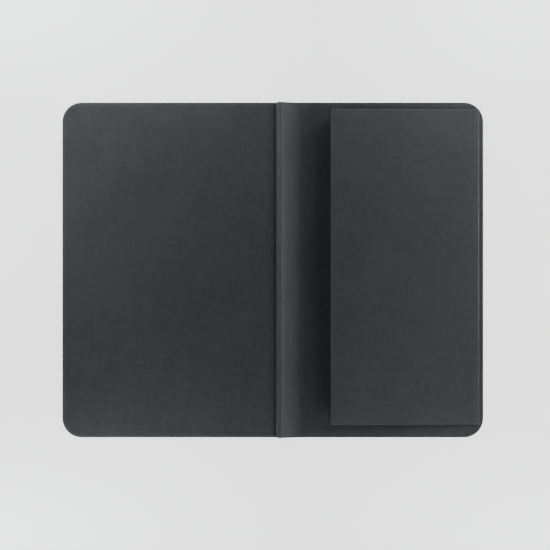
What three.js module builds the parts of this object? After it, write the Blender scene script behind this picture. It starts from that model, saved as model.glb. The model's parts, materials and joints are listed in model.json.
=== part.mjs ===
// Pocket notebook, 90 x 140 mm, lying open at its last page.
// Left half: front cover with the sewn page block and the rear flyleaf on top.
// Right half: back cover lying flat, with an expanding card pocket on its inside.
// Units are millimetres, +Z up, origin at the centre of the bottom of the bounding box.
import * as THREE from 'three';

// ---- driving dimensions -------------------------------------------------
const HALF_W = 88;            // half of the width of the open notebook
const HALF_H = 70;            // half of the height of the notebook
const CORNER_R = 8;           // rounded outer corners of the covers
const COVER_T = 0.75;         // cover card thickness
const PAPER_IN = 0.75;        // how far the paper stands inside the cover edge
const ENDPAPER_T = 0.25;      // endpaper thickness, with its glue
const SECTION_T = 1.125;      // one folded and sewn section
const SECTIONS = 6;
const BLOCK_X1 = 1.25;        // spine side of the page block
const SPINE_X0 = 2.0;         // inner face of the standing spine strip
const SPINE_TOP = 8.5;
const HINGE_A = [2.375, 9.0]; // upper crease of the back cover, mid-thickness (x, z)
const HINGE_B = [15.5, 0.375]; // lower crease of the back cover, mid-thickness (x, z)
const CREASE_A_CLEAR = 0.9;   // free length of the crease at the spine
const CREASE_B_CLEAR = 0.2;
const POCKET_MOUTH_X = 24.1;  // edge of the pocket that faces the spine
const POCKET_FOLD_X = 86.6;   // folded edge of the pocket at the fore-edge
const POCKET_TOP_Y = 67.2;
const POCKET_BOT_Y = -64.5;
const POCKET_PIVOT_Z = 1.75;
const POCKET_TILT = 4.0;      // gape of the pocket mouth at rest, degrees
const POCKET_CARD_T = 0.35;
const GUSSET_W = 6;
const GUSSET_T = 0.1875;
const THREAD_L = 116;

// ---- materials ----------------------------------------------------------
const coverMat = new THREE.MeshStandardMaterial({ color: 0x26272a, roughness: 0.72, metalness: 0 });
const liningMat = new THREE.MeshStandardMaterial({ color: 0x303134, roughness: 0.85, metalness: 0 });
const paperMat = new THREE.MeshStandardMaterial({ color: 0xe9e3d2, roughness: 0.9, metalness: 0 });
const clothMat = new THREE.MeshStandardMaterial({ color: 0x1d1d20, roughness: 0.95, metalness: 0 });
const threadMat = new THREE.MeshStandardMaterial({ color: 0xf1ede2, roughness: 0.9, metalness: 0 });

// ---- helpers ------------------------------------------------------------
// Outline in the XY plane whose corners on one side (+1 right, -1 left, 0 none) are rounded.
function sheetShape(x0, x1, y0, y1, r, side) {
  const s = new THREE.Shape();
  const rr = side > 0 ? r : 0;
  const rl = side < 0 ? r : 0;
  s.moveTo(x0 + rl, y0);
  s.lineTo(x1 - rr, y0);
  if (rr) s.absarc(x1 - rr, y0 + rr, rr, -Math.PI / 2, 0, false);
  s.lineTo(x1, y1 - rr);
  if (rr) s.absarc(x1 - rr, y1 - rr, rr, 0, Math.PI / 2, false);
  s.lineTo(x0 + rl, y1);
  if (rl) s.absarc(x0 + rl, y1 - rl, rl, Math.PI / 2, Math.PI, false);
  s.lineTo(x0, y0 + rl);
  if (rl) s.absarc(x0 + rl, y0 + rl, rl, Math.PI, Math.PI * 1.5, false);
  return s;
}

function sheet(name, x0, x1, y0, y1, z0, t, r, side, mat) {
  const g = new THREE.ExtrudeGeometry(sheetShape(x0, x1, y0, y1, r, side), {
    depth: t, bevelEnabled: false, curveSegments: 10, steps: 1,
  });
  const m = new THREE.Mesh(g, mat);
  m.name = name;
  m.position.z = z0;
  return m;
}

function block(name, x0, x1, y0, y1, z0, z1, mat) {
  const m = new THREE.Mesh(new THREE.BoxGeometry(x1 - x0, y1 - y0, z1 - z0), mat);
  m.name = name;
  m.position.set((x0 + x1) / 2, (y0 + y1) / 2, (z0 + z1) / 2);
  return m;
}

const notebook = new THREE.Group();

// ---- front cover, spine and page block ----------------------------------
const px0 = -HALF_W + PAPER_IN;
const py = HALF_H - PAPER_IN;
const pr = CORNER_R - 0.5;
notebook.add(sheet('front_cover_board', -HALF_W, 1.75, -HALF_H, HALF_H, 0, COVER_T, CORNER_R, -1, coverMat));
notebook.add(sheet('front_pastedown', px0, 1.5, -py, py, COVER_T, ENDPAPER_T, pr, -1, liningMat));
notebook.add(sheet('front_flyleaf', px0, BLOCK_X1, -py, py, COVER_T + ENDPAPER_T, ENDPAPER_T, pr, -1, liningMat));
notebook.add(block('spine_strip', SPINE_X0, SPINE_X0 + COVER_T, -HALF_H, HALF_H, 0, SPINE_TOP, coverMat));
notebook.add(block('spine_lining', SPINE_X0 - 0.25, SPINE_X0, -HALF_H + 4, HALF_H - 4, 1.0, 8.0, clothMat));

const blockZ0 = COVER_T + 2 * ENDPAPER_T;
for (let i = 0; i < SECTIONS; i += 1) {
  const z0 = blockZ0 + i * SECTION_T;
  notebook.add(sheet(`section_${i + 1}`, px0, BLOCK_X1, -py, py, z0, SECTION_T, pr, -1, paperMat));
  notebook.add(block(`sewing_thread_${i + 1}`, BLOCK_X1, BLOCK_X1 + 0.375, -THREAD_L / 2, THREAD_L / 2,
    z0 + 0.3125, z0 + 0.8125, threadMat));
}
const blockZ1 = blockZ0 + SECTIONS * SECTION_T;
notebook.add(sheet('back_flyleaf', px0, BLOCK_X1, -py, py, blockZ1, ENDPAPER_T, pr, -1, liningMat));

// ---- back cover: sloping hinge panel and flat board ---------------------
const dx = HINGE_B[0] - HINGE_A[0];
const dz = HINGE_B[1] - HINGE_A[1];
const slope = Math.atan2(-dz, dx);
const run = Math.hypot(dx, dz);
const hingeGroup = new THREE.Group();
hingeGroup.position.set(HINGE_A[0], 0, HINGE_A[1]);
hingeGroup.rotation.y = slope;
hingeGroup.add(block('back_hinge_panel', CREASE_A_CLEAR, run - CREASE_B_CLEAR, -HALF_H, HALF_H, -COVER_T / 2, COVER_T / 2, coverMat));
notebook.add(hingeGroup);

const backX0 = HINGE_B[0] + CREASE_B_CLEAR;
notebook.add(sheet('back_cover_board', backX0, HALF_W, -HALF_H, HALF_H, 0, COVER_T, CORNER_R, 1, coverMat));
notebook.add(sheet('back_pastedown', backX0 + 0.5, HALF_W - PAPER_IN, -py, py, COVER_T, ENDPAPER_T, pr, 1, liningMat));

// ---- expanding pocket ---------------------------------------------------
const pz = COVER_T + ENDPAPER_T;
notebook.add(block('pocket_back_panel', POCKET_MOUTH_X, POCKET_FOLD_X - 0.5, POCKET_BOT_Y, POCKET_TOP_Y, pz, pz + 0.25, liningMat));
const gz = pz + 0.25;
const gx0 = POCKET_MOUTH_X + 0.5;
const gx1 = POCKET_FOLD_X - 1;
notebook.add(block('gusset_head_lower', gx0, gx1, POCKET_TOP_Y - GUSSET_W, POCKET_TOP_Y - 0.25, gz, gz + GUSSET_T, clothMat));
notebook.add(block('gusset_tail_lower', gx0, gx1, POCKET_BOT_Y + 0.25, POCKET_BOT_Y + GUSSET_W, gz, gz + GUSSET_T, clothMat));
notebook.add(block('gusset_fore_lower', gx1 - GUSSET_W, gx1, POCKET_BOT_Y + GUSSET_W + 0.25, POCKET_TOP_Y - GUSSET_W - 0.25, gz, gz + GUSSET_T, clothMat));

const flap = new THREE.Group();
flap.position.set(POCKET_FOLD_X, 0, POCKET_PIVOT_Z);
flap.rotation.y = THREE.MathUtils.degToRad(POCKET_TILT);
const fl = POCKET_FOLD_X - POCKET_MOUTH_X;
flap.add(block('pocket_front_panel', -fl, 0, POCKET_BOT_Y, POCKET_TOP_Y, 0, POCKET_CARD_T, liningMat));
const uz1 = -0.0625;
const uz0 = uz1 - GUSSET_T;
flap.add(block('gusset_head_upper', -fl + 0.5, -1, POCKET_TOP_Y - GUSSET_W, POCKET_TOP_Y - 0.25, uz0, uz1, clothMat));
flap.add(block('gusset_tail_upper', -fl + 0.5, -1, POCKET_BOT_Y + 0.25, POCKET_BOT_Y + GUSSET_W, uz0, uz1, clothMat));
flap.add(block('gusset_fore_upper', -1 - GUSSET_W, -1, POCKET_BOT_Y + GUSSET_W + 0.25, POCKET_TOP_Y - GUSSET_W - 0.25, uz0, uz1, clothMat));
notebook.add(flap);

export default notebook;
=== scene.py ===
import json
import math
import random

import bmesh
import bpy
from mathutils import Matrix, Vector, noise


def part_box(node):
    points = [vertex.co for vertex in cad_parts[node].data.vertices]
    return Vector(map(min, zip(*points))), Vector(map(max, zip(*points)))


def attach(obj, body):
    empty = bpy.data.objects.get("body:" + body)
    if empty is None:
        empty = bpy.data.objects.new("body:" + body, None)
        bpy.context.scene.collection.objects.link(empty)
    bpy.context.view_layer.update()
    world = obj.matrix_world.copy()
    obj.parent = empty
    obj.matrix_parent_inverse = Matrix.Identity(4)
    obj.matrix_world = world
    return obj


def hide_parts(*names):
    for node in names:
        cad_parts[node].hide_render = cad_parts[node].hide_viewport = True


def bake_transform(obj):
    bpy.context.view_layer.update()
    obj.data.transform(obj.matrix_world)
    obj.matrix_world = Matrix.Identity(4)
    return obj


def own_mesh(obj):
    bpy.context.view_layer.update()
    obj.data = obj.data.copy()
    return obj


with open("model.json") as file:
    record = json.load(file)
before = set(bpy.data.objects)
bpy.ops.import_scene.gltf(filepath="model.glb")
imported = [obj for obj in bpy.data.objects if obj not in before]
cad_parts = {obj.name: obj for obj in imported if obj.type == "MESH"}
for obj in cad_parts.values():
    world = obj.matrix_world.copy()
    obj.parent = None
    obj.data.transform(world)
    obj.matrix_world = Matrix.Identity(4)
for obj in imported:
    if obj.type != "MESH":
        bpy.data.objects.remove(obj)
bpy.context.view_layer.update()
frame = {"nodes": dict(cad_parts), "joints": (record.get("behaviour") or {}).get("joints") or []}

MM = 0.001

# ---------------------------------------------------------------- camera
cam_data = bpy.data.cameras.new("overhead_camera")
cam = bpy.data.objects.new("overhead_camera", cam_data)
bpy.context.scene.collection.objects.link(cam)
cam_data.sensor_width = 36
cam_data.lens = 260
CAM_D = 1.662
cam.location = (0.00092, -0.0021, CAM_D)
cam.rotation_euler = (0, 0, 0)
cam_data.clip_start, cam_data.clip_end = 0.05, 20
bpy.context.scene.camera = cam

# ---------------------------------------------------------------- dimensions, from the frame
fc_lo, fc_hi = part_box("front_cover_board")
bc_lo, bc_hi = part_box("back_cover_board")
sp_lo, sp_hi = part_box("spine_strip")
fl_lo, fl_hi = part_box("back_flyleaf")
pd_lo, pd_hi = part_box("back_pastedown")
pk_lo, pk_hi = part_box("pocket_front_panel")
pb_lo, pb_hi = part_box("pocket_back_panel")
joint = {j["name"]: j for j in frame["joints"]}
AX, AZ = joint["back_cover_hinge"]["pos_m"][0], joint["back_cover_hinge"]["pos_m"][2]
BX, BZ = joint["back_cover_crease"]["pos_m"][0], joint["back_cover_crease"]["pos_m"][2]
PX, PZ = joint["pocket_press"]["pos_m"][0], joint["pocket_press"]["pos_m"][2]
HH = bc_hi.y
CT = bc_hi.z - bc_lo.z
CORNER = 8.0 * MM


# ---------------------------------------------------------------- material kit
class Mat:
    """A Principled material built from nodes, with small helpers."""

    def __init__(self, name):
        self.m = bpy.data.materials.new(name)
        self.m.use_nodes = True
        self.t = self.m.node_tree
        self.b = self.t.nodes["Principled BSDF"]
        self.co = self.t.nodes.new("ShaderNodeTexCoord").outputs["Object"]

    def n(self, kind, **inputs):
        node = self.t.nodes.new(kind)
        for k, v in inputs.items():
            if k.startswith("_"):
                setattr(node, k[1:], v)
        return node

    def link(self, a, b):
        self.t.links.new(a, b)

    def mapped(self, sx, sy, sz, src=None):
        n = self.t.nodes.new("ShaderNodeMapping")
        n.inputs["Scale"].default_value = (sx, sy, sz)
        self.link(src or self.co, n.inputs["Vector"])
        return n.outputs["Vector"]

    def noise(self, scale, detail=3.0, rough=0.55, vec=None, dist=0.0):
        n = self.t.nodes.new("ShaderNodeTexNoise")
        n.inputs["Scale"].default_value = scale
        n.inputs["Detail"].default_value = detail
        n.inputs["Roughness"].default_value = rough
        n.inputs["Distortion"].default_value = dist
        self.link(vec or self.co, n.inputs["Vector"])
        return n.outputs["Fac"]

    def voronoi(self, scale, vec=None, feature="F1"):
        n = self.t.nodes.new("ShaderNodeTexVoronoi")
        n.feature = feature
        n.inputs["Scale"].default_value = scale
        self.link(vec or self.co, n.inputs["Vector"])
        return n.outputs["Distance"]

    def remap(self, src, a, b, c, d):
        n = self.t.nodes.new("ShaderNodeMapRange")
        for k, v in zip(("From Min", "From Max", "To Min", "To Max"), (a, b, c, d)):
            n.inputs[k].default_value = v
        self.link(src, n.inputs["Value"])
        return n.outputs["Result"]

    def math(self, op, a, b):
        n = self.t.nodes.new("ShaderNodeMath")
        n.operation = op
        for i, v in enumerate((a, b)):
            if isinstance(v, (int, float)):
                n.inputs[i].default_value = v
            else:
                self.link(v, n.inputs[i])
        return n.outputs[0]

    def mix(self, fac, a, b):
        n = self.t.nodes.new("ShaderNodeMix")
        n.data_type = "RGBA"
        if isinstance(fac, (int, float)):
            n.inputs[0].default_value = fac
        else:
            self.link(fac, n.inputs[0])
        for i, v in ((6, a), (7, b)):
            if isinstance(v, tuple):
                n.inputs[i].default_value = (*v, 1)
            else:
                self.link(v, n.inputs[i])
        return n.outputs[2]

    def scaled(self, col, fac):
        n = self.t.nodes.new("ShaderNodeVectorMath")
        n.operation = "SCALE"
        self.link(col, n.inputs[0])
        self.link(fac, n.inputs["Scale"])
        return n.outputs[0]

    def attr(self, name):
        n = self.t.nodes.new("ShaderNodeAttribute")
        n.attribute_name = name
        return n.outputs["Fac"]

    def bump(self, height, dist, strength=1.0, normal=None):
        n = self.t.nodes.new("ShaderNodeBump")
        n.inputs["Distance"].default_value = dist
        n.inputs["Strength"].default_value = strength
        self.link(height, n.inputs["Height"])
        if normal is not None:
            self.link(normal, n.inputs["Normal"])
        return n.outputs["Normal"]


def black_paper(name, base, light, rough=(0.56, 0.70), wear_and_highlight=0.5, fibre=1.0, streak=1.0, spec=0.35):
    """Uncoated black paper or card: cloudy pulp, short fibres, a faint machine direction along Y."""
    m = Mat(name)
    cloud = m.noise(38, 4, 0.6, dist=0.4)
    pulp = m.noise(420, 5, 0.65)
    fine = m.noise(2600, 3, 0.6)
    lines = m.noise(1.0, 4, 0.6, vec=m.mapped(1100, 160, 300), dist=0.6)
    cross = m.noise(1.0, 4, 0.6, vec=m.mapped(150, 1200, 300), dist=0.6)
    lines = m.math("ADD", m.math("MULTIPLY", lines, 0.5), m.math("MULTIPLY", cross, 0.5))
    fibres = m.noise(1.0, 2, 0.5, vec=m.mapped(900, 5200, 900), dist=1.2)
    tone = m.math("ADD", m.remap(cloud, 0.3, 0.7, -0.07, 0.07), m.remap(pulp, 0.3, 0.7, -0.13, 0.13))
    tone = m.math("ADD", tone, m.remap(fine, 0.3, 0.7, -0.10 * fibre, 0.10 * fibre))
    tone = m.math("ADD", tone, m.remap(lines, 0.3, 0.7, -0.09 * streak, 0.09 * streak))
    specks = m.remap(fibres, 0.66, 0.76, 0.0, 0.5 * fibre)
    tone = m.math("ADD", m.math("ADD", tone, specks), 1.0)
    lint = m.t.nodes.new("ShaderNodeTexVoronoi")
    lint.inputs["Scale"].default_value = 210
    m.link(m.co, lint.inputs["Vector"])
    split = m.t.nodes.new("ShaderNodeSeparateColor")
    m.link(lint.outputs["Color"], split.inputs["Color"])
    spot = m.math("MULTIPLY", m.remap(lint.outputs["Distance"], 0.035, 0.060, 1.0, 0.0), m.remap(split.outputs[0], 0.80, 0.95, 0.0, 0.9))
    tone = m.math("ADD", tone, spot)
    # Mix towards the lighter colour where wear_and_painted_highlight is high: rubbed edges, plus painted highlights
    # laid on the hinge lining and the pocket flap.
    edge = m.attr("wear_and_painted_highlight")
    worn_and_lit = m.math("MULTIPLY", edge, m.remap(m.noise(600, 4, 0.7), 0.35, 0.65, 0.25 * wear_and_highlight, wear_and_highlight))
    col = m.mix(worn_and_lit, base, light)
    m.link(m.scaled(col, tone), m.b.inputs["Base Color"])
    m.link(m.remap(pulp, 0.3, 0.7, rough[0], rough[1]), m.b.inputs["Roughness"])
    h = m.math("ADD", m.math("MULTIPLY", fine, 0.5), m.math("MULTIPLY", pulp, 0.35))
    h = m.math("ADD", h, m.math("MULTIPLY", lines, 0.35 * streak))
    m.link(m.bump(h, 0.00006, 0.55), m.b.inputs["Normal"])
    m.b.inputs["Specular IOR Level"].default_value = spec
    return m.m


def cover_card(name):
    """Coated black cover card with a fine pebbled grain, rubbed lighter along its edges, and lightened along the spine
    ridge as a painted highlight.
    """
    m = Mat(name)
    pebble = m.voronoi(1500, feature="SMOOTH_F1")
    fine = m.noise(3200, 4, 0.6)
    cloud = m.noise(45, 4, 0.6)
    tone = m.math("ADD", m.remap(cloud, 0.3, 0.7, 0.97, 1.03), m.remap(pebble, 0.1, 0.7, 0.10, -0.10))
    # Mix towards the lighter colour where wear_and_painted_highlight is high: rubbed edges, plus a painted highlight
    # along the spine ridge.
    edge = m.attr("wear_and_painted_highlight")
    worn_and_lit = m.math("MULTIPLY", edge, m.remap(m.noise(500, 5, 0.75), 0.35, 0.68, 0.15, 0.75))
    col = m.mix(worn_and_lit, (0.021, 0.0212, 0.0225), (0.050, 0.050, 0.052))
    m.link(m.scaled(col, tone), m.b.inputs["Base Color"])
    m.link(m.remap(m.noise(900, 3, 0.5), 0.3, 0.7, 0.62, 0.70), m.b.inputs["Roughness"])
    h = m.math("ADD", m.math("MULTIPLY", pebble, 0.9), m.math("MULTIPLY", fine, 0.25))
    m.link(m.bump(h, 0.00008, 0.6), m.b.inputs["Normal"])
    m.b.inputs["Specular IOR Level"].default_value = 0.22
    return m.m


def ivory_pages(name):
    """Page paper seen mostly edge-on: each leaf a slightly different tone, dust and fibres along the cut."""
    m = Mat(name)
    leaves = m.noise(1.0, 3, 0.6, vec=m.mapped(1.5, 1.5, 9000))
    fine = m.noise(2200, 3, 0.6)
    cloud = m.noise(60, 3, 0.5)
    col = m.mix(m.remap(leaves, 0.35, 0.65, 0, 1), (0.62, 0.57, 0.45), (0.80, 0.76, 0.65))
    col = m.mix(m.remap(cloud, 0.4, 0.7, 0, 0.07), col, (0.70, 0.62, 0.46))
    m.link(m.scaled(col, m.remap(fine, 0.3, 0.7, 0.94, 1.05)), m.b.inputs["Base Color"])
    m.link(m.remap(fine, 0.3, 0.7, 0.80, 0.95), m.b.inputs["Roughness"])
    m.link(m.bump(m.math("ADD", m.math("MULTIPLY", leaves, 0.8), m.math("MULTIPLY", fine, 0.3)), 0.00005, 0.5),
           m.b.inputs["Normal"])
    m.b.inputs["Specular IOR Level"].default_value = 0.25
    return m.m


def thread_mat(name):
    m = Mat(name)
    ply = m.t.nodes.new("ShaderNodeTexWave")
    ply.wave_type = "BANDS"
    ply.bands_direction = "DIAGONAL"
    ply.inputs["Scale"].default_value = 1400
    ply.inputs["Distortion"].default_value = 1.5
    m.link(m.co, ply.inputs["Vector"])
    f = ply.outputs["Fac"]
    m.link(m.mix(f, (0.46, 0.43, 0.37), (0.82, 0.80, 0.73)), m.b.inputs["Base Color"])
    m.link(m.remap(f, 0, 1, 0.85, 0.6), m.b.inputs["Roughness"])
    m.link(m.bump(f, 0.00008, 0.7), m.b.inputs["Normal"])
    return m.m


def gauze_mat(name):
    m = Mat(name)
    waves = []
    for axis in ("Y", "Z"):
        w = m.t.nodes.new("ShaderNodeTexWave")
        w.bands_direction = axis
        w.inputs["Scale"].default_value = 700
        w.inputs["Distortion"].default_value = 0.6
        m.link(m.co, w.inputs["Vector"])
        waves.append(w.outputs["Fac"])
    f = m.math("MULTIPLY", waves[0], waves[1])
    m.link(m.mix(f, (0.020, 0.020, 0.021), (0.075, 0.074, 0.072)), m.b.inputs["Base Color"])
    m.link(m.remap(f, 0, 1, 0.95, 0.8), m.b.inputs["Roughness"])
    m.link(m.bump(f, 0.0001, 0.8), m.b.inputs["Normal"])
    return m.m


# Each sheet's lighter colour is mixed in by its wear_and_painted_highlight attribute: rubbed edges, and painted
# highlights along the spine ridge, the hinge strip and the pocket flap's edges and fold.
COVER = cover_card("cover_card")
ENDPAPER = black_paper("endpaper", (0.0262, 0.0259, 0.0262), (0.072, 0.071, 0.070), wear_and_highlight=0.45, spec=0.2)
POCKET = black_paper("pocket_card", (0.0270, 0.0266, 0.0268), (0.095, 0.095, 0.096), rough=(0.5, 0.64), wear_and_highlight=0.5, spec=0.22)
GUSSET = black_paper("gusset_paper", (0.020, 0.020, 0.021), (0.05, 0.05, 0.05), rough=(0.7, 0.85))
PAGES = ivory_pages("page_paper")
THREAD = thread_mat("thread")
GAUZE = gauze_mat("spine_cloth")


# ---------------------------------------------------------------- mesh kit
def finish_mesh(name, bm, mat, smooth=True, bevel=None, wear_and_highlight=None):
    bmesh.ops.recalc_face_normals(bm, faces=bm.faces)
    me = bpy.data.meshes.new(name)
    bm.to_mesh(me)
    bm.free()
    if wear_and_highlight is not None:
        a = me.attributes.new("wear_and_painted_highlight", "FLOAT", "POINT")
        a.data.foreach_set("value", [wear_and_highlight(v.co) for v in me.vertices])
    for p in me.polygons:
        p.use_smooth = smooth
    me.materials.append(mat)
    o = bpy.data.objects.new(name, me)
    bpy.context.scene.collection.objects.link(o)
    if bevel:
        b = o.modifiers.new("rim", "BEVEL")
        b.width = bevel
        b.segments = 2
        b.limit_method = "ANGLE"
        b.angle_limit = math.radians(50)
        b.harden_normals = False
    if smooth:
        w = o.modifiers.new("shade", "WEIGHTED_NORMAL")
        w.keep_sharp = True
        w.weight = 60
    return o


def rows_for(y0, y1, r, n_mid=30, n_corner=12):
    """Y positions from y0 to y1, closer together in the two rounded corners."""
    ys = []
    for i in range(n_corner + 1):
        a = math.pi / 2 * i / n_corner
        ys.append(y0 + r * (1 - math.cos(a)))
    for i in range(1, n_mid):
        ys.append(y0 + r + (y1 - y0 - 2 * r) * i / n_mid)
    for i in range(n_corner + 1):
        a = math.pi / 2 * (1 - i / n_corner)
        ys.append(y1 - r * (1 - math.cos(a)))
    return ys


def corner_cut(y, y0, y1, r):
    """How far a rounded corner pulls the outer edge in at this y."""
    d = max(0.0, (y0 + r) - y, y - (y1 - r))
    d = min(d, r)
    return r - math.sqrt(max(0.0, r * r - d * d))


class Path:
    """A line in the XZ plane given by points; at(s) returns the point and its left-hand normal."""

    def __init__(self, pts):
        self.p = [Vector(q) for q in pts]
        self.s = [0.0]
        for a, b in zip(self.p, self.p[1:]):
            self.s.append(self.s[-1] + (b - a).length)
        self.length = self.s[-1]
        t = [(b - a).normalized() for a, b in zip(self.p, self.p[1:])]
        self.tan = [t[0]] + [(a + b).normalized() for a, b in zip(t, t[1:])] + [t[-1]]

    def at(self, s):
        s = min(max(s, 0.0), self.length)
        lo, hi = 0, len(self.s) - 1
        while hi - lo > 1:
            mid = (lo + hi) // 2
            if self.s[mid] <= s:
                lo = mid
            else:
                hi = mid
        f = (s - self.s[lo]) / max(self.s[hi] - self.s[lo], 1e-12)
        p = self.p[lo].lerp(self.p[hi], f)
        t = self.tan[lo].lerp(self.tan[hi], f).normalized()
        return p, t


def skin(name, path, up, dn, y0, y1, r, s0, s_fix, n_fix, n_tail, mat, side, disp=None, cap=None,
         bevel=None, wear_w=0.9 * MM, n_mid=30, s_cols=None, painted_highlight_mask=None):
    """A sheet that follows path in XZ and runs along Y, with its two outer corners rounded.
    side is +1 if the path's top is on its left-hand side, -1 otherwise. up and dn are the distances to its two faces."""
    ys = rows_for(y0, y1, r, n_mid)
    bm = bmesh.new()
    grid = []
    for y in ys:
        s_end = path.length - corner_cut(y, y0, y1, r)
        ss = list(s_cols) if s_cols else [s0 + (s_fix - s0) * i / n_fix for i in range(n_fix)]
        ss += [s_fix + (s_end - s_fix) * (1 - (1 - i / n_tail) ** 1.6) for i in range(n_tail + 1)]
        top, bot = [], []
        for s in ss:
            p, t = path.at(s)
            nrm = Vector((-t.y, t.x)) * side
            d = disp(s, y) if disp else 0.0
            a = p + nrm * (up + d)
            b = p - nrm * (dn - d)
            top.append((a.x, y, a.y))
            bot.append((b.x, y, b.y))
        ring = []
        if cap:
            p, t = path.at(s0)
            nrm = Vector((-t.y, t.x)) * side
            k = 10
            for i in range(1, k):
                a = math.pi * i / k
                q = p - nrm * (math.cos(a) * cap) - t * (math.sin(a) * cap)
                ring.append((q.x, y, q.y))
        loop = [bm.verts.new(c) for c in top] + [bm.verts.new(c) for c in reversed(bot)] + [bm.verts.new(c) for c in ring]
        grid.append(loop)
    n = len(grid[0])
    m = len(ss)
    for a, b in zip(grid, grid[1:]):
        for i in range(n):
            j = (i + 1) % n
            bm.faces.new((a[i], a[j], b[j], b[i]))
    for loop in (grid[0], grid[-1]):
        for i in range(m - 1):
            bm.faces.new((loop[i], loop[i + 1], loop[2 * m - 2 - i], loop[2 * m - 1 - i]))
        if cap:
            bm.faces.new([loop[0], loop[2 * m - 1]] + loop[2 * m:])

    end_x = path.at(path.length)[0].x
    out = 1 if end_x > 0 else -1

    # Rubbed outer edges and corners, plus the painted highlight mask when one is given.
    def wear_and_highlight(co):
        d = min(co.y - y0, y1 - co.y)
        x_in = (end_x - co.x) * out
        cx, cy = r - x_in, r - d
        if cx > 0 and cy > 0:
            e = r - math.hypot(cx, cy)
        else:
            e = min(d, x_in)
        out_w = max(0.0, 1.0 - max(e, 0.0) / wear_w)
        return min(1.5, out_w + painted_highlight_mask(co)) if painted_highlight_mask else out_w

    return finish_mesh(name, bm, mat, True, bevel, wear_and_highlight)


def bezier(p0, p1, p2, p3, n):
    pts = []
    for i in range(n + 1):
        t = i / n
        a = (1 - t) ** 3
        b = 3 * (1 - t) ** 2 * t
        c = 3 * (1 - t) * t * t
        d = t ** 3
        pts.append((a * p0[0] + b * p1[0] + c * p2[0] + d * p3[0], a * p0[1] + b * p1[1] + c * p2[1] + d * p3[1]))
    return pts


def wave(amp, scale, seed):
    def f(s, y):
        return amp * noise.noise(Vector((s * scale, y * scale, seed)))
    return f


# ---------------------------------------------------------------- front cover and spine, one bent sheet
R_SP = 1.5 * MM


def painted_ridge_highlight(co):
    """Painted highlight along the ridge of the spine, stronger towards the head, mixed in as rubbed lightening of the
    cover.
    """
    h = max(0.0, 1 - max(0.0, AZ - 0.15 * MM - co.z) / (0.7 * MM)) if abs(co.x - AX) < 2.2 * MM else 0.0
    return h * (0.9 + 0.5 * co.y / HH + 0.6 * noise.noise(Vector((co.y * 70, 3.3, 1.1))))


spx = (sp_lo.x + sp_hi.x) / 2
fz = (fc_lo.z + fc_hi.z) / 2
pts = [(spx, AZ - 0.05 * MM), (spx, AZ - 3 * MM), (spx, fz + R_SP + 2 * MM)]
for i in range(9):
    a = math.pi / 2 * i / 8
    pts.append((spx - R_SP + R_SP * math.cos(a), fz + R_SP - R_SP * math.sin(a)))
pts += [(spx - R_SP - 2 * MM, fz), (fc_lo.x + 20 * MM, fz), (fc_lo.x, fz)]
front_path = Path(pts)
L = front_path.length
cols = [0, 0.4 * MM, 1 * MM, 2 * MM, 3.5 * MM, 5 * MM] + [6.2 * MM + 0.35 * MM * i for i in range(10)] + \
       [11 * MM, 14 * MM] + [18 * MM + 4.3 * MM * i for i in range(13)]
front_skin = skin("front_cover_and_spine", front_path, CT / 2, CT / 2, -HH, HH, CORNER, 0, L - 2 * CORNER, 0, 14,
                  COVER, -1, cap=CT / 2 + 0.05 * MM, bevel=0.16 * MM, s_cols=cols, painted_highlight_mask=painted_ridge_highlight)
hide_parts("front_cover_board", "spine_strip")
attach(front_skin, "front_half")

# ---------------------------------------------------------------- back cover: bent strip and flat, one sheet
P0, P3 = (AX, AZ), (BX + 0.5 * MM, BZ)
KX, KZ = AX + 4.7 * MM, AZ - 5.3 * MM
hinge = bezier(P0, (AX + 1.7 * MM, AZ - 1.5 * MM), (AX + 3.2 * MM, AZ - 3.4 * MM), (KX, KZ), 16)
hinge += bezier((KX, KZ), (KX + 1.6 * MM, KZ - 2.0 * MM), (KX + 3.2 * MM, BZ), P3, 26)[1:]
back_path = Path(hinge + [(BX + 6 * MM, BZ), (bc_hi.x - 20 * MM, BZ), (bc_hi.x, BZ)])
LB = back_path.length
cols = [0.45 * MM * i for i in range(42)] + [20 * MM + 4 * MM * i for i in range(int((LB - 2 * CORNER - 20 * MM) / (4 * MM)))]
back_skin = skin("back_cover_sheet", back_path, CT / 2, CT / 2 - 0.02 * MM, -HH, HH, CORNER, 0, LB - 2 * CORNER, 0, 14,
                 COVER, 1, wear_w=0.4 * MM, cap=CT / 2 - 0.02 * MM, bevel=0.16 * MM, s_cols=cols, painted_highlight_mask=painted_ridge_highlight)
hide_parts("back_hinge_panel", "back_cover_board")
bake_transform(back_skin)

# lining paper over the bent strip and the whole inside of the back cover
py = pd_hi.y
lin_path = Path(back_path.p[:-1] + [Vector((pd_hi.x, BZ))])
LL = lin_path.length
cols = [0.55 * MM + 0.43 * MM * i for i in range(42)] + [20 * MM + 4 * MM * i for i in range(int((LL - 2 * CORNER - 20 * MM) / (4 * MM)))]
w1 = wave(1.0, 42, 3.1)


def window(s, a, b, c, d):
    return min(1.0, max(0.0, (s - a) / (b - a))) * min(1.0, max(0.0, (d - s) / (d - c)))


def lin_disp(s, y):
    head = 1.0 + 1.6 * max(0.0, (y - 25 * MM) / (45 * MM))
    return 0.075 * MM * head * (1.0 + w1(s * 1.6, y * 0.7)) * window(s, 0.8 * MM, 2.6 * MM, 6.5 * MM, 10 * MM)


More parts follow.
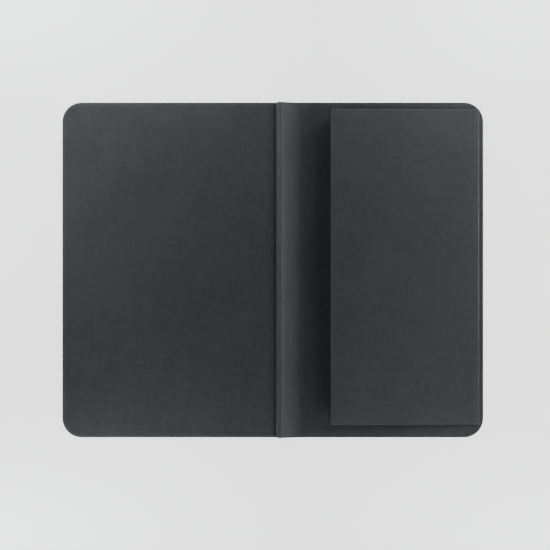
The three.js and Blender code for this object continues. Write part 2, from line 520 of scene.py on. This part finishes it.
# Painted highlights on the hinge lining: a thin light line along the foot of the steep slope, and a lighter band near
# the ridge, stronger towards the head.
def painted_hinge_highlights(co):
    x0 = 7.7 * MM + 0.35 * MM * noise.noise(Vector((co.y * 30, 0.4, 2.2)))
    a = 0.55 + 0.9 * noise.noise(Vector((co.y * 55, 5.1, 0.3)))
    ridge = 0.45 * math.exp(-((co.x - 3.3 * MM) / (0.5 * MM)) ** 2) * (0.4 + 0.6 * max(0.0, co.y / HH))
    return max(0.0, a) * math.exp(-((co.x - x0) / (0.42 * MM)) ** 2) + ridge

lining = skin("back_lining_paper", lin_path, CT / 2 + 0.22 * MM, -(CT / 2 + 0.01 * MM), -py, py, CORNER - 0.6 * MM, 0.55 * MM,
              LL - 2 * CORNER, 0, 14, ENDPAPER, 1, disp=lin_disp, bevel=0.05 * MM, s_cols=cols, n_mid=60, wear_w=0.35 * MM,
              painted_highlight_mask=painted_hinge_highlights)
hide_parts("back_pastedown")
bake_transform(lining)

# the endpaper's fold down in the gutter, between the block and the spine
gut = Path([(1.12 * MM, AZ - 0.97 * MM), (1.30 * MM, AZ - 0.985 * MM), (1.46 * MM, AZ - 0.96 * MM), (1.62 * MM, AZ - 0.89 * MM),
            (1.76 * MM, AZ - 0.78 * MM), (1.87 * MM, AZ - 0.64 * MM), (1.94 * MM, AZ - 0.50 * MM)])
gutter = skin("endpaper_gutter_fold", gut, 0.04 * MM, 0.04 * MM, -py, py, 0.02 * MM, 0, gut.length * 0.9, 0, 3, ENDPAPER, 1,
              s_cols=[gut.length * 0.9 * i / 9 for i in range(9)], n_mid=12)
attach(gutter, "front_half")

# ---------------------------------------------------------------- rear flyleaf
fmid = (fl_lo.z + fl_hi.z) / 2
ft = (fl_hi.z - fl_lo.z) / 2
pts = []
for i in range(60):
    x = fl_hi.x - 0.12 * MM * i
    d = (fl_hi.x - x) / (1.0 * MM)
    pts.append((x, fmid - 0.11 * MM * math.exp(-d * d) + 0.10 * MM * math.exp(-((d - 3.2) / 1.6) ** 2)))
pts += [(fl_lo.x + 20 * MM, fmid), (fl_lo.x, fmid)]
fly_path = Path(pts)
LF = fly_path.length
cols = [0.24 * MM * i for i in range(28)] + [7 * MM + 3 * MM * i for i in range(int((LF - 2 * CORNER - 7 * MM) / (3 * MM)))]
wf = wave(0.045 * MM, 26, 7.7)


def fly_disp(s, y):
    return (wf(s, y) + 0.045 * MM) * min(1.0, max(0.0, (s - 2 * MM) / (12 * MM)))


flyleaf = skin("rear_flyleaf_sheet", fly_path, ft, ft - 0.02 * MM, fl_lo.y, fl_hi.y, CORNER - 0.5 * MM, 0, LF - 2 * CORNER, 0, 14,
               ENDPAPER, -1, disp=fly_disp, bevel=0.05 * MM, s_cols=cols, n_mid=36)
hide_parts("back_flyleaf")
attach(flyleaf, "rear_leaf")


# ---------------------------------------------------------------- page sections
def section(k):
    node = f"section_{k}"
    lo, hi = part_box(node)
    rnd = random.Random(100 + k)
    bm = bmesh.new()
    r = CORNER - 0.5 * MM
    leaves = 10
    t = (hi.z - lo.z) / leaves
    zc = (lo.z + hi.z) / 2
    half = (hi.z - lo.z) / 2
    loops = []

    def outline(z, inset, jx, jy):
        q = (z - zc) / half
        fold = hi.x - half * 0.9 * (1 - math.sqrt(max(0.0, 1 - q * q * 0.96)))
        x0, y0, y1 = lo.x + 0.16 * MM + inset + jx, lo.y + 0.14 * MM + inset + jy, hi.y - 0.14 * MM - inset + jy
        pts = [(fold, y0), (fold, y0 / 2), (fold, 0), (fold, y1 / 2), (fold, y1), (-30 * MM, y1), (-60 * MM, y1)]
        for i in range(13):
            a = math.pi / 2 + math.pi / 2 * i / 12
            pts.append((x0 + r + r * math.cos(a), y1 - r + r * math.sin(a)))
        pts.append((x0, 0))
        for i in range(13):
            a = math.pi + math.pi / 2 * i / 12
            pts.append((x0 + r + r * math.cos(a), y0 + r + r * math.sin(a)))
        pts += [(-60 * MM, y0), (-30 * MM, y0)]
        return [bm.verts.new((x, y, z)) for x, y in pts]

    for i in range(leaves):
        jx, jy = rnd.uniform(0, 0.05) * MM, rnd.uniform(-0.03, 0.03) * MM
        z0 = lo.z + t * i
        groove = 0.07 * MM if i else 0.03 * MM
        loops.append(outline(z0 + 0.01 * MM * (i == 0), groove, jx, jy))
        loops.append(outline(z0 + t * 0.22, 0.0, jx, jy))
        loops.append(outline(z0 + t * 0.80, 0.0, jx, jy))
    loops.append(outline(hi.z - 0.01 * MM, 0.03 * MM, 0, 0))
    for a, b in zip(loops, loops[1:]):
        for i in range(len(a)):
            j = (i + 1) % len(a)
            bm.faces.new((a[i], a[j], b[j], b[i]))
    bm.faces.new(list(reversed(loops[0])))
    bm.faces.new(loops[-1])
    o = finish_mesh(f"pages_{k}", bm, PAGES, False, None)
    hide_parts(node)
    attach(o, "front_half" if k == 1 else f"leaves_{k}")
    return o


for k in range(1, 7):
    section(k)


# ---------------------------------------------------------------- sewing: stitches along each fold
def stitches(k):
    node = f"sewing_thread_{k}"
    lo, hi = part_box(node)
    bm = bmesh.new()
    zc = (lo.z + hi.z) / 2
    stations = [lo.y + (hi.y - lo.y) * i / 7 for i in range(8)]
    rad = 0.16 * MM
    for a, b in zip(stations[::1], stations[1::1]):
        a2, b2 = a + 1.2 * MM, b - 1.2 * MM
        rings = []
        n = 22
        for i in range(n + 1):
            f = i / n
            y = a2 + (b2 - a2) * f
            e = min(f, 1 - f) * (b2 - a2)
            x = lo.x + rad * 0.9 - max(0.0, 0.35 * MM - e) * 0.5
            rr = rad * (1 if 0 < i < n else 0.6)
            tw = f * 40
            ring = []
            for j in range(10):
                ang = 2 * math.pi * j / 10
                q = rr * (1 + 0.14 * math.cos(3 * (ang + tw)))
                ring.append(bm.verts.new((x + q * math.cos(ang), y, zc + q * math.sin(ang))))
            rings.append(ring)
        for u, v in zip(rings, rings[1:]):
            for j in range(10):
                bm.faces.new((u[j], u[(j + 1) % 10], v[(j + 1) % 10], v[j]))
        bm.faces.new(rings[0])
        bm.faces.new(rings[-1])
    o = finish_mesh(f"stitching_{k}", bm, THREAD, True, None)
    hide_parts(node)
    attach(o, "front_half" if k == 1 else f"leaves_{k}")


for k in range(1, 7):
    stitches(k)

# ---------------------------------------------------------------- pocket front panel
tilt = math.atan2((pk_hi.z - PZ) - 0.35 * MM, PX - pk_lo.x)
PT = 0.35 * MM
plen = (PX - pk_lo.x) / math.cos(tilt)


def flap_panel():
    """Card panel that rises towards its mouth, turned down in a small round fold at the fore-edge."""
    bm = bmesh.new()
    y0, y1 = pk_lo.y, pk_hi.y
    near = [0.0, 0.10 * MM, 0.22 * MM, 0.40 * MM, 0.9 * MM]
    ys = [y0 + d for d in near] + [y0 + 3 * MM + (y1 - y0 - 6 * MM) * i / 38 for i in range(39)] + [y1 - d for d in reversed(near)]
    rf, back = 0.42 * MM, 0.40 * MM
    prof = [("s", plen - d) for d in near]
    n = 34
    for i in range(n + 1):
        prof.append(("s", plen - 1.4 * MM - (plen - 1.4 * MM - rf * 1.1 - back) * i / n))
    for i in range(1, 8):
        prof.append(("a", math.pi / 2 * i / 7))
    ct, st = math.cos(tilt), math.sin(tilt)
    grid = []
    for y in ys:
        v = (y - (y0 + y1) / 2) / ((y1 - y0) / 2)
        top, bot = [], []
        for kind, q in prof:
            if kind == "s":
                g = q / plen
                bow = 0.12 * MM * (1 - v * v) * g * g + 0.03 * MM * noise.noise(Vector((q * 38, y * 38, 1.3)))
                bow *= min(1.0, q / (8 * MM))
                lx, lz, nx, nz = -q, PT / 2 + bow, 0.0, 1.0
            else:
                lx = -back - rf * 1.1 + rf * math.sin(q)
                lz = PT / 2 - rf * (1 - math.cos(q))
                nx, nz = math.sin(q), math.cos(q)
            for lst, h in ((top, PT / 2), (bot, -PT / 2)):
                ax, az = lx + nx * h, lz + nz * h
                lst.append((PX + ax * ct + az * st, y, PZ - ax * st + az * ct))
        grid.append([bm.verts.new(c) for c in top] + [bm.verts.new(c) for c in reversed(bot)])
    n = len(grid[0])
    m = len(prof)
    for a, b in zip(grid, grid[1:]):
        for i in range(n):
            j = (i + 1) % n
            bm.faces.new((a[i], a[j], b[j], b[i]))
    for loop in (grid[0], grid[-1]):
        for i in range(m - 1):
            bm.faces.new((loop[i], loop[i + 1], loop[2 * m - 2 - i], loop[2 * m - 1 - i]))

    # Lighter along the cut edges as wear and painted edge highlight; the band along the fore-edge fold is a painted
    # highlight.
    def wear_and_highlight(co):
        d = min(co.y - y0, y1 - co.y, co.x - pk_lo.x)
        fold = 0.12 * math.exp(-((co.x - (PX - 0.8 * MM)) / (0.35 * MM)) ** 2)
        return max(0.0, 1 - max(d, 0) / (0.34 * MM)) + fold

    o = finish_mesh("pocket_flap_panel", bm, POCKET, True, 0.07 * MM, wear_and_highlight)
    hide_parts("pocket_front_panel")
    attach(o, "pocket_flap")
    return o


flap_panel()


# ---------------------------------------------------------------- pocket gussets: folded strips under the pocket panel
def under(x):
    """Height of the underside of the pocket panel above the floor at x."""
    return PZ + (PX - x) * math.tan(tilt) - 0.04 * MM


def gusset(name, nodes, pts_at, stations):
    """A strip folded inwards once. pts_at(t, z0, z1) gives its section at a station."""
    bm = bmesh.new()
    rows = []
    for s in stations:
        rows.append([bm.verts.new(c) for c in pts_at(s)])
    for a, b in zip(rows, rows[1:]):
        for i in range(len(a) - 1):
            bm.faces.new((a[i], a[i + 1], b[i + 1], b[i]))
    bmesh.ops.recalc_face_normals(bm, faces=bm.faces)
    g = bmesh.ops.extrude_face_region(bm, geom=list(bm.faces))
    moved = [v for v in g["geom"] if isinstance(v, bmesh.types.BMVert)]
    bm.normal_update()
    base = {}
    for v in moved:
        n = Vector((0, 0, 0))
        for f in v.link_faces:
            n += f.normal
        base[v] = n.normalized() if n.length > 1e-9 else Vector((0, 0, 1))
    for v in moved:
        v.co += base[v] * 0.12 * MM
    o = finish_mesh(name, bm, GUSSET, True, None)
    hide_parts(*nodes)
    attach(o, "back_cover")
    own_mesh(o)
    return o


def v_section(y_out, y_in, x, lead=0.0):
    z0, z1 = pb_hi.z + 0.03 * MM, under(x) - 0.14 * MM
    out = []
    n = 8
    for i in range(n + 1):
        f = i / n
        depth = 1 - abs(2 * f - 1)
        depth = depth ** 0.8
        out.append((x, y_out + (y_in - y_out) * depth, z0 + (z1 - z0) * f))
    return out


gx0, gx1 = pk_lo.x + 0.4 * MM, PX - 1.3 * MM
st = [gx0 + (gx1 - gx0) * i / 30 for i in range(31)]
gusset("gusset_head", ["gusset_head_lower", "gusset_head_upper"],
       lambda x: v_section(pk_hi.y - 0.45 * MM, pk_hi.y - 5.6 * MM, x), st)
gusset("gusset_tail", ["gusset_tail_lower", "gusset_tail_upper"],
       lambda x: v_section(pk_lo.y + 0.45 * MM, pk_lo.y + 5.6 * MM, x), st)


def fore_section(y):
    out = []
    n = 8
    x_out, x_in = PX - 1.0 * MM, PX - 5.5 * MM
    for i in range(n + 1):
        f = i / n
        depth = (1 - abs(2 * f - 1)) ** 0.8
        x = x_out + (x_in - x_out) * depth
        z0, z1 = pb_hi.z + 0.02 * MM, PZ - 0.16 * MM
        out.append((x, y, z0 + (z1 - z0) * f))
    return out


sy0, sy1 = pk_lo.y + 6 * MM, pk_hi.y - 6 * MM
gusset("gusset_fore_edge", ["gusset_fore_lower", "gusset_fore_upper"], fore_section,
       [sy0 + (sy1 - sy0) * i / 20 for i in range(21)])

# ---------------------------------------------------------------- CAD nodes that stay, with their materials
for node, mat in (("front_pastedown", ENDPAPER), ("front_flyleaf", ENDPAPER), ("pocket_back_panel", POCKET), ("spine_lining", GAUZE)):
    o = frame["nodes"][node]
    o.data.materials.clear()
    o.data.materials.append(mat)
    a = o.data.attributes.get("wear_and_painted_highlight") or o.data.attributes.new("wear_and_painted_highlight", "FLOAT", "POINT")
    a.data.foreach_set("value", [0.35] * len(o.data.vertices))

# ---------------------------------------------------------------- floor and light
floor_m = Mat("studio_floor")
fn = floor_m.noise(9, 2, 0.5)
floor_m.link(floor_m.mix(floor_m.remap(fn, 0.3, 0.7, 0, 1), (0.27, 0.27, 0.272), (0.29, 0.29, 0.29)), floor_m.b.inputs["Base Color"])
floor_m.b.inputs["Roughness"].default_value = 0.9
floor_m.b.inputs["Specular IOR Level"].default_value = 0.1
floor_m.b.inputs["Emission Color"].default_value = (1, 1, 1, 1)
floor_m.b.inputs["Emission Strength"].default_value = 1.9
bm = bmesh.new()
bmesh.ops.create_grid(bm, x_segments=4, y_segments=4, size=3.0)
floor = finish_mesh("floor", bm, floor_m.m, False)
floor.location.z = -0.0001


def softbox(name, loc, target, sx, sy, power, color=(1, 1, 1)):
    d = bpy.data.lights.new(name, "AREA")
    d.shape = "RECTANGLE"
    d.size, d.size_y = sx, sy
    d.energy = power
    d.color = color
    o = bpy.data.objects.new(name, d)
    bpy.context.scene.collection.objects.link(o)
    o.location = loc
    o.rotation_mode = "QUATERNION"
    o.rotation_quaternion = (Vector(target) - Vector(loc)).to_track_quat("-Z", "Z")
    o.visible_camera = False
    return o


COOL = (0.89, 0.94, 1.0)
softbox("wall_right", (0.235, 0.02, 0.044), (0.02, 0.01, 0.006), 0.30, 0.033, 1.08, (0.965, 0.985, 1.0))
softbox("wall_head", (-0.086, 0.125, 0.040), (-0.060, 0.03, 0), 0.15, 0.040, 0.285, COOL)
softbox("corner_head_right", (0.094, 0.122, 0.040), (0.070, 0.050, 0), 0.08, 0.036, 0.125, COOL)
softbox("wall_left", (-0.150, 0.020, 0.042), (-0.07, 0.01, 0), 0.24, 0.042, 0.22, COOL)
softbox("wall_tail_left", (-0.085, -0.122, 0.038), (-0.055, -0.04, 0), 0.15, 0.038, 0.225, COOL)
softbox("wall_tail_right", (0.090, -0.122, 0.038), (0.060, -0.04, 0), 0.10, 0.038, 0.110, COOL)
softbox("overhead", (-0.05, 0.0, 0.75), (-0.02, 0, 0), 0.45, 0.45, 0.03)

world = bpy.data.worlds.new("studio")
bpy.context.scene.world = world
world.use_nodes = True
world.node_tree.nodes["Background"].inputs["Color"].default_value = (1, 1, 1, 1)
world.node_tree.nodes["Background"].inputs["Strength"].default_value = 0.006
